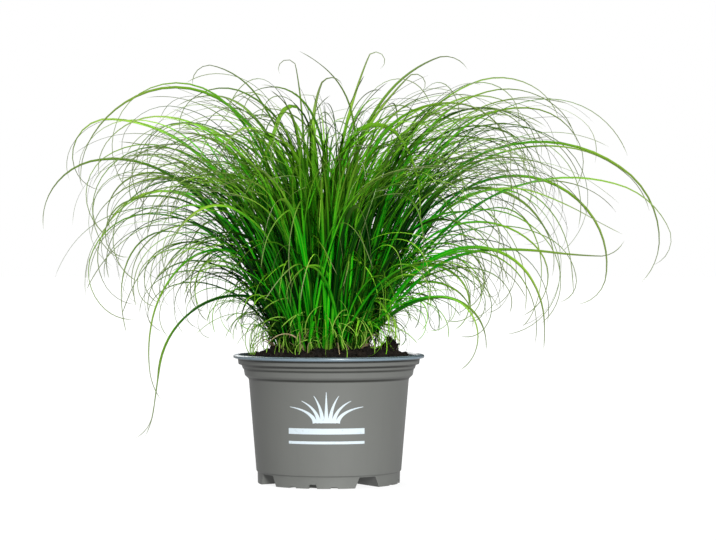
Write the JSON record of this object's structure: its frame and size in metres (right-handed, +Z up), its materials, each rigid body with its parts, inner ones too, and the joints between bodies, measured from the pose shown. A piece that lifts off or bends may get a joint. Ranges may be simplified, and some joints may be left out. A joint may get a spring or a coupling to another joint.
{
  "type": "potted ornamental grass clump",
  "caption": "A clump of fine arching grass blades with curling tips, growing in dark peat in a round tapered plastic nursery pot with a rolled rim and a notched foot.",
  "frame": {"origin": "middle of the pot's flat base pad, on the surface that the pot stands on", "axes": "+Z up along the pot's axis; -Y towards the front of the plant; +X towards the side where the longest blades reach furthest"},
  "size_m": [0.4231, 0.3899, 0.2976],
  "materials": {
    "pot_plastic": "satin",
    "peat": "matte",
    "blades": "satin"
  },
  "bodies": {
    "root": {"pot": "pot_plastic", "soil": "peat", "peat_clod": "peat", "tuft_outer_01": "blades", "tuft_outer_02": "blades", "tuft_outer_03": "blades", "tuft_outer_04": "blades", "tuft_outer_05": "blades", "tuft_outer_06": "blades", "tuft_outer_07": "blades", "tuft_outer_08": "blades", "tuft_outer_09": "blades", "tuft_outer_10": "blades", "tuft_outer_11": "blades", "tuft_outer_12": "blades", "tuft_outer_13": "blades", "tuft_outer_14": "blades", "tuft_outer_15": "blades", "tuft_outer_16": "blades", "tuft_outer_17": "blades", "tuft_outer_18": "blades", "tuft_middle_01": "blades", "tuft_middle_02": "blades", "tuft_middle_03": "blades", "tuft_middle_04": "blades", "tuft_middle_05": "blades", "tuft_middle_06": "blades", "tuft_middle_07": "blades", "tuft_middle_08": "blades", "tuft_middle_09": "blades", "tuft_middle_10": "blades", "tuft_middle_11": "blades", "tuft_middle_12": "blades", "tuft_inner_01": "blades", "tuft_inner_02": "blades", "tuft_inner_03": "blades", "tuft_inner_04": "blades", "tuft_inner_05": "blades", "tuft_inner_06": "blades"}
  },
  "joints": []
}
